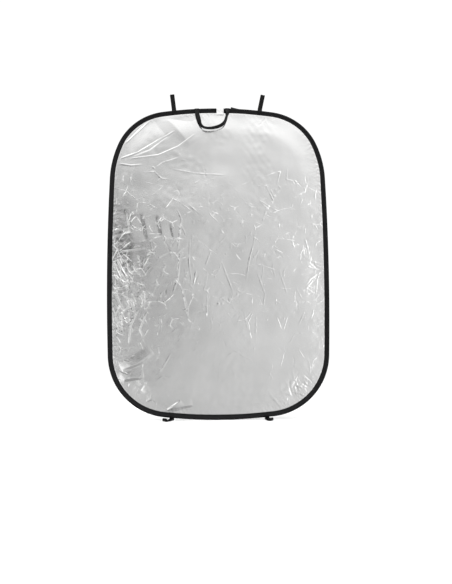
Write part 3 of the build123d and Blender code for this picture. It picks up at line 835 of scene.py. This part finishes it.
def webbing_loop(name):
    """One loop: a strip from the front of the rim, out round the loop's tip and down the back."""
    body = f"{name}_fold"
    joint = next(j for j in frame["joints"] if j["child"] == body)
    eye_mount = next(m for m in record["mounts"] if m["name"] == f"{name}_loop_eye")
    hinge = np.array(joint["pos_m"])
    eye = np.array(eye_mount["pos_m"])
    edge = unit(np.array(joint["axis"]))
    edge = edge * math.copysign(1, edge[0])
    inwards = np.cross(edge, (0, 1, 0))
    if inwards @ (np.array((0, 0, 0.86)) - hinge) < 0:
        inwards = -inwards
    rim = hinge + inwards * (PINCH_UP + 0.7 * MM + LOOP_T)
    route = unit(eye - hinge)
    width = np.array(eye_mount["axis"])
    width = width * math.copysign(1, width[0])
    out = np.cross(route, width)
    if out @ FRONT + out @ inwards < 0:
        out = -out
    half = LOOP_T / 2
    # Middle line of the two legs together: off the rim, round the fold, out to the eye
    bend = 3 * MM
    middle = [hinge + inwards * bend * k for k in (1.6, 1.0)]
    sides = [FRONT, FRONT]
    widths = [edge, edge]
    for t in (0.25, 0.5, 0.75, 1.0):
        middle.append(hinge + inwards * bend * (1 - t) ** 2 + route * bend * t ** 2)
        sides.append(unit(FRONT * (1 - t) + out * t))
        widths.append(unit(edge * (1 - t) + width * t))
    opening = [(6, 0), (10, 0.0), (14, 0.5), (24, 1.0), (40, 2.4), (56, 3.9), (68, 5.0)]
    for far, gap in opening:
        middle.append(hinge + route * far * MM)
        sides.append(out * (1 + gap * MM / half))
        widths.append(width)
    middle, sides, widths = np.array(middle), np.array(sides), np.array(widths)
    tip_r = eye_mount["dims"]["r_mm"] * MM + half
    tip = np.array([eye + route * tip_r * math.cos(a) + out * tip_r * math.sin(a)
                    for a in np.radians(np.arange(90, -91, -22.5))])
    leave = np.radians((90, 76, 63))
    flange = over_rim(SKIN_GAP + half, leave[::-1], SEWN_REACH, 1)[::-1]
    front = rim + inwards * flange[:, :1] + FRONT * flange[:, 1:]
    back = rim + inwards * flange[:, :1] - FRONT * flange[:, 1:]
    centre = np.concatenate((front, middle + sides * half, tip, (middle - sides * half)[::-1], back[::-1]))
    sewn = np.tile(edge, (len(flange), 1))
    across = np.concatenate((sewn, widths, np.tile(width, (len(tip), 1)), widths[::-1], sewn))
    line = smooth_line(np.hstack((centre, across)), 1.6 * MM)
    shape = Shape()
    ribbon(shape, line[:, :3], line[:, 3:], LOOP_W, LOOP_T)
    obj = shape.make(f"{name}_webbing_loop", loop_webbing)
    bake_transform(obj)
    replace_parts(obj, f"{name}_loop", f"{name}_loop_sewn_end")
    return rim, edge, inwards


loop_places = {name: webbing_loop(name) for name in ("top_left", "top_right", "bottom_left", "bottom_right")}

# The handle's route, as in the CAD source: x, front of the hinge, drop below it, all in mm, the
# turn of its width in degrees, and the slope of its width up towards the front
HANDLE_ROUTE = [
    (-114, 0.6, 26, 0, 0),
    (-108, 4.6, 52, 16, 0),
    (-101, 11.6, 76, 40, 0.05),
    (-93, 17.6, 98, 66, 0.1),
    (-78, 20.6, 115, 85, 0.14),
    (-52, 21, 121, 90, 0.14),
    (-20, 20, 118, 90, 0.3),
    (12, 19, 108, 92, 0.5),
    (34, 17, 90, 100, 0.55),
    (47, 12, 60, 112, 0.35),
    (53.5, 7.6, 30, 120, 0.1),
    (55.6, 1.4, 12, 168, 0),
]
HANDLE_LEFT_X, HANDLE_RIGHT_X = -116.5 * MM, 56 * MM
HINGE_FRONT = 8.8 * MM
# The spare webbing behind the rim, past the handle's right end: x and distance in from the
# rim's edge along its upper side and its lower side, in mm
TAIL_TOP = [(50, 6), (60, 5.6), (70, 5.0), (74, -4), (77, -12), (98, -8), (122, -3.6), (146, 1)]
TAIL_LOW = [(50, 17), (62, 18.2), (76, 19.4), (90, 20.6), (104, 21.8), (117, 22.9), (130, 24), (143, 25)]


def handle_end(x, way):
    """A sewn end from the back of the rim to its front, and its width there.

    The back run's angles are in the wrong order (5, 30, 60, 90 is right), so the webbing
    doubles back and cuts through the rim.
    """
    point, along, inwards = top_spot(x)
    gap = SKIN_GAP + HANDLE_T / 2
    back = over_rim(gap, np.radians((90, 60, 30, 5)), SEWN_REACH, -1)[::-1]
    nose = over_rim(gap, np.radians((25, 50, 75, 90)), SEWN_REACH, 1)[:4]
    line = np.concatenate((back, nose))
    points = point + inwards * line[:, :1] + FRONT * line[:, 1:]
    return points, np.tile(way * along, (len(points), 1)), point, inwards


# The rim's top edge runs to the left. The strap turns half round between its ends.
left_end, left_width, left_rim, left_in = handle_end(HANDLE_LEFT_X, -1)
right_end, right_width, right_rim, right_in = handle_end(HANDLE_RIGHT_X, 1)
left_pivot, right_pivot = left_rim + left_in * NOSE_R, right_rim + right_in * NOSE_R
hinge_slope = (right_pivot[2] - left_pivot[2]) / (right_pivot[0] - left_pivot[0])
hung, hung_width = [], []
for x, front, drop, turn, lift in HANDLE_ROUTE:
    hinge_z = left_pivot[2] + hinge_slope * (x * MM - left_pivot[0])
    hung.append((x * MM, -HINGE_FRONT - front * MM, hinge_z - drop * MM))
    hung_width.append((math.cos(math.radians(turn)), -math.sin(math.radians(turn)), lift))
centre = np.concatenate((left_end, hung, right_end[::-1]))
across = np.concatenate((left_width, hung_width, right_width))
line = smooth_line(np.hstack((centre, across)), 2 * MM)
shape = Shape()
ribbon(shape, line[:, :3], line[:, 3:], HANDLE_W, HANDLE_T)


def behind_rim(line):
    """Points on the rim's back at x and in, both in mm."""
    out = []
    for x, depth in smooth_line([(a, b, 0) for a, b in line], 2.0)[:, :2]:
        point, along, inwards = top_spot(x * MM)
        out.append(point + inwards * depth * MM)
    return np.array(out)


tail_top, tail_low = behind_rim(TAIL_TOP), behind_rim(TAIL_LOW)
columns = min(len(tail_top), len(tail_low))
tail_top = tail_top[np.linspace(0, len(tail_top) - 1, columns).astype(int)]
tail_low = tail_low[np.linspace(0, len(tail_low) - 1, columns).astype(int)]
tail_centre = (tail_top + tail_low) / 2
tail_centre[:, 1] = NOSE_R + SKIN_GAP + HANDLE_T / 2
tail_half = np.linalg.norm(tail_top - tail_low, axis=1) / 2
tail_way = unit(tail_top - tail_low)
half = HANDLE_T / 2
profile = [(t, half) for t in np.linspace(-0.94, 0.94, 9)] + [(1.0, 0.0)]
profile += [(-a, -b) for a, b in profile]
tail_side = tail_way * tail_half[:, None]
tail = np.stack([tail_centre + tail_side * a + np.array((0, b, 0)) for a, b in profile], 1)
v = np.linspace(0, 2 * HANDLE_W, len(profile) + 1)
shape.grid(tail[:, ::-1], lengths(tail_centre), v, close_v=True, caps=True)
handle = shape.make("handle_webbing_strap", handle_webbing)
# Its start lies behind the sewn ends, so they move with the handle. report.md lists this fault.
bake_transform(handle)
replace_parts(handle, "handle_strap", "handle_left_end", "handle_right_end")

# ---- Bar tacks ----


TACK_IN, TACK_L, TACK_W = 21.6 * MM, 20 * MM, 2.4 * MM


def tacks(name, spots):
    """All the bar tacks of one piece, each a zigzag of short stitches."""
    strokes = int(TACK_L / (0.62 * MM))
    middles, ways, normals = [], [], []
    for point, along, normal in spots:
        across = np.cross(normal, along)
        for number in range(strokes):
            far = (number + 0.5) / strokes - 0.5
            slant = 0.22 if number % 2 else -0.22
            middles.append(point + along * far * TACK_L)
            ways.append(unit(across + along * slant))
            normals.append(normal)
    rows = (np.array(a) for a in (middles, ways, normals))
    obj = stitches(name, black_thread, *rows, TACK_W, 0.6 * MM, 0.7 * MM)
    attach(obj, "panel")
    return obj


loop_spots = []
for rim, edge, inwards in loop_places.values():
    for face in (1, -1):
        spot = rim + inwards * TACK_IN + FRONT * face * (FLANGE_OUT + SKIN_GAP + LOOP_T + 0.1 * MM)
        loop_spots.append((spot, edge, FRONT * face))
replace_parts(tacks("loop_bar_tack_stitches", loop_spots), "loop_bar_tacks")

handle_spots = []
for rim, inwards in ((left_rim, left_in), (right_rim, right_in)):
    spot = rim + inwards * TACK_IN - FRONT * (FLANGE_OUT + SKIN_GAP + HANDLE_T + 0.1 * MM)
    handle_spots.append((spot, np.cross(inwards, FRONT), -FRONT))
point, along, inwards = top_spot(136 * MM)
spot = point + inwards * 12 * MM - FRONT * (NOSE_R + SKIN_GAP + HANDLE_T + 0.1 * MM)
handle_spots.append((spot, inwards, -FRONT))
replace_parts(tacks("handle_bar_tack_stitches", handle_spots), "handle_bar_tacks")

# ---- Label ----

LABEL_X, LABEL_W, LABEL_T = 14.5 * MM, 40 * MM, 0.45 * MM
LABEL_GAP = 0.42 * MM      # the label bridges the binding's stitches

point, along, inwards = top_spot(LABEL_X)
right = -along


def label_line(gap):
    """The label's run from the rim's edge down over its front, as in and out."""
    turn = np.radians(np.arange(2, 91, 11))
    nose = [(NOSE_R - (NOSE_R + gap) * math.cos(a), (NOSE_R + gap) * math.sin(a)) for a in turn]
    rest = ((10, 5.05), (13, 4.1), (16, 3.1), (20, 1.75), (24, 1.35),
            (28, 1.45), (32, 2.1), (35, 2.9), (38, 3.9))
    return np.array(nose + [(a * MM, b * MM + gap) for a, b in rest])


def label_sheet(gap):
    """Points of one face of the label, each row across it."""
    line = smooth_line(np.insert(label_line(gap), 2, 0, axis=1), 1.2 * MM)[:, :2]
    wide = np.linspace(-LABEL_W / 2, LABEL_W / 2, 25)
    free = step(line[:, 0], 24 * MM, 38 * MM)[:, None]
    curl = 0.9 * MM * free * np.sin(wide / LABEL_W * 5 + 0.6)[None] + 0.15 * MM * np.sin(wide * 420)[None]
    out = line[:, 1:] + curl * step(line[:, 0], 4 * MM, 12 * MM)[:, None]
    base = point + inwards * line[:, :1]
    return base[:, None] + right * wide[None, :, None] + FRONT * out[..., None], line, wide


front_face, line, wide = label_sheet(LABEL_GAP + LABEL_T)
back_face = label_sheet(LABEL_GAP)[0]
shell = np.concatenate((front_face, back_face[:, ::-1]), axis=1)
v = np.concatenate((wide - wide[0], LABEL_W + 0.5 * MM + wide - wide[0], [2 * LABEL_W + 1 * MM]))
shape = Shape()
shape.grid(shell[:, ::-1], lengths(line), v, close_v=True, caps=True)
label = shape.make("woven_label_cloth", label_cloth, angle=50)
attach(label, "panel")
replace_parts(label, "woven_label")

# Stitches down the label's two sides and along its lower edge, 2 mm in
label_rows = [front_face[2:-2, 1], front_face[2:-2, -2], front_face[-3, 1:-1]]
middles, ways, normals = [], [], []
for row in label_rows:
    far = lengths(row)
    spots = np.arange(1.2 * MM, far[-1] - 1 * MM, 2.4 * MM)
    spot = np.stack([np.interp(spots, far, row[:, k]) for k in range(3)], -1)
    way = unit(np.stack([np.interp(spots, far, np.gradient(row[:, k])) for k in range(3)], -1))
    side = right if abs(way[0] @ right) < 0.5 else -inwards
    up = unit(np.cross(way, np.tile(side, (len(way), 1))))
    up *= np.sign(up @ FRONT)[:, None]
    middles.append(spot + up * 0.05 * MM)
    ways.append(way)
    normals.append(up)
label_row = stitches("label_thread_stitches", white_thread, np.concatenate(middles), np.concatenate(ways),
                     np.concatenate(normals), 1.9 * MM, 0.5 * MM, 0.45 * MM)
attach(label_row, "panel")
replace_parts(label_row, "label_stitching")

# ---- Studio ----

floor_mesh = bpy.data.meshes.new("studio_floor")
far = 12.0
floor_mesh.from_pydata([(-far, -far, 0), (far, -far, 0), (far, far, 0), (-far, far, 0)], [], [(0, 1, 2, 3)])
floor = bpy.data.objects.new("studio_floor", floor_mesh)
floor.location.z = min(cad_low.z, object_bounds()[0].z) - 1 * MM
scene.collection.objects.link(floor)
floor_mesh.materials.append(Paint("pale_floor", Base_Color=(0.93, 0.93, 0.93, 1), Roughness=0.9).material)
floor.visible_glossy = False
floor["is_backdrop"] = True

# The studio's light: a world whose brightness depends on direction, and two softboxes
world = bpy.data.worlds.new("studio")
scene.world = world
world.use_nodes = True
world.node_tree.nodes.clear()
sky = Nodes(world.node_tree)
direction = sky.node("ShaderNodeTexCoord").outputs["Generated"]
split = sky.node("ShaderNodeSeparateXYZ", {0: direction})


def level_between(value, low, high, to_low, to_high):
    """A light level that turns smoothly from to_low to to_high as value goes from low to high."""
    link = {"Value": value, "From Min": low, "From Max": high, "To Min": to_low, "To Max": to_high}
    return sky.node("ShaderNodeMapRange", link, interpolation_type="SMOOTHSTEP").outputs["Result"]


# What the silver mirrors: a wall that brightens upwards, a bright strip at each side with a dim
# gap before it, a bright ceiling and a dimmer floor
wall = level_between(split.outputs["Z"], 0.30, 0.56, 0.68, 1.27)
wall = sky.plus(wall, level_between(split.outputs["X"], -0.30, 0.30, -0.15, 0.09))
aside = sky.math("ABSOLUTE", sky.math("SUBTRACT", split.outputs["X"], 0.045))
for low, high, change in ((0.25, 0.34, 0.85), (0.42, 0.62, -0.80)):
    strip = level_between(aside, low, high, 0.0, change)
    wall = sky.plus(wall, strip)
SIDE, CEILING, GROUND = (-0.50, -0.26, -0.25, 0.0), (0.62, 0.72, 0.0, 0.9), (-0.30, -0.14, -0.25, 0.0)
for axis, levels in (("X", SIDE), ("Z", CEILING), ("Z", GROUND)):
    wall = sky.plus(wall, level_between(split.outputs[axis], *levels))
# The light behind the panel is dimmer, and most of it from above, to show the white side's folds
behind = level_between(split.outputs["Y"], -0.10, 0.25, 0.0, 1.0)
above = level_between(split.outputs["Z"], -0.2, 1.0, 0.05, 0.30)
dimmed = sky.plus(1.0, sky.times(behind, sky.math("SUBTRACT", above, 1.0)))
level = sky.times(wall, dimmed)
# Two dark patches, a small one inside a wide faint one: direction, cosines of edge and core, share left
for centre, edge, core, share in (
    ((-0.25, -0.93, 0.195), 0.9938, 0.9979, 0.0),
    ((-0.20, -0.95, 0.16), 0.965, 0.993, 0.85),
):
    link = {0: direction, 1: Vector(centre).normalized()}
    gap = sky.node("ShaderNodeVectorMath", link, operation="DOT_PRODUCT").outputs["Value"]
    level = sky.times(level, level_between(gap, edge, core, 1.0, share))
# The camera sees a plain white backdrop in place of all this
tint = sky.node("ShaderNodeBackground", {"Strength": level, "Color": (1, 1, 1, 1)})
plain = sky.node("ShaderNodeBackground", {"Strength": 1.05, "Color": (1, 1, 1, 1)})
seen = sky.node("ShaderNodeLightPath").outputs["Is Camera Ray"]
choose = sky.node("ShaderNodeMixShader", {"Fac": seen, 1: tint.outputs[0], 2: plain.outputs[0]})
sky.node("ShaderNodeOutputWorld", {"Surface": choose.outputs[0]})


def softbox(name, place, aim, size, power):
    data = bpy.data.lights.new(name, "AREA")
    data.shape = "RECTANGLE"
    data.size, data.size_y = size
    data.energy = power
    light = bpy.data.objects.new(name, data)
    light.location = place
    light.rotation_euler = (Vector(aim) - Vector(place)).to_track_quat("-Z", "Y").to_euler()
    scene.collection.objects.link(light)
    light.visible_glossy = False


softbox("overhead_softbox", (0.0, -0.6, 4.2), (0, 0, 0), (4.0, 4.0), 30)
softbox("back_softbox", (-2.4, 1.1, 2.3), (0, 0, 0.9), (0.8, 1.4), 60)

# ---- Camera: low in front of the panel, tilted up at it ----

camera_data = bpy.data.cameras.new("camera")
camera_data.sensor_width, camera_data.lens = 36, 34.69
camera = bpy.data.objects.new("camera", camera_data)
place = Vector((-0.04, -3.0, 0.27))
yaw, tilt, roll = (math.radians(a) for a in (1.52, 7.65, -0.46))
ahead = Vector((math.sin(yaw) * math.cos(tilt), math.cos(yaw) * math.cos(tilt), math.sin(tilt)))
level_right = Vector((math.cos(yaw), -math.sin(yaw), 0))
camera_right = math.cos(roll) * level_right + math.sin(roll) * level_right.cross(ahead)
axes = Matrix((camera_right, camera_right.cross(ahead), -ahead)).transposed()
camera.matrix_world = Matrix.LocRotScale(place, axes, None)
scene.collection.objects.link(camera)
scene.camera = camera
scene.view_settings.view_transform = "Standard"

low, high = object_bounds()
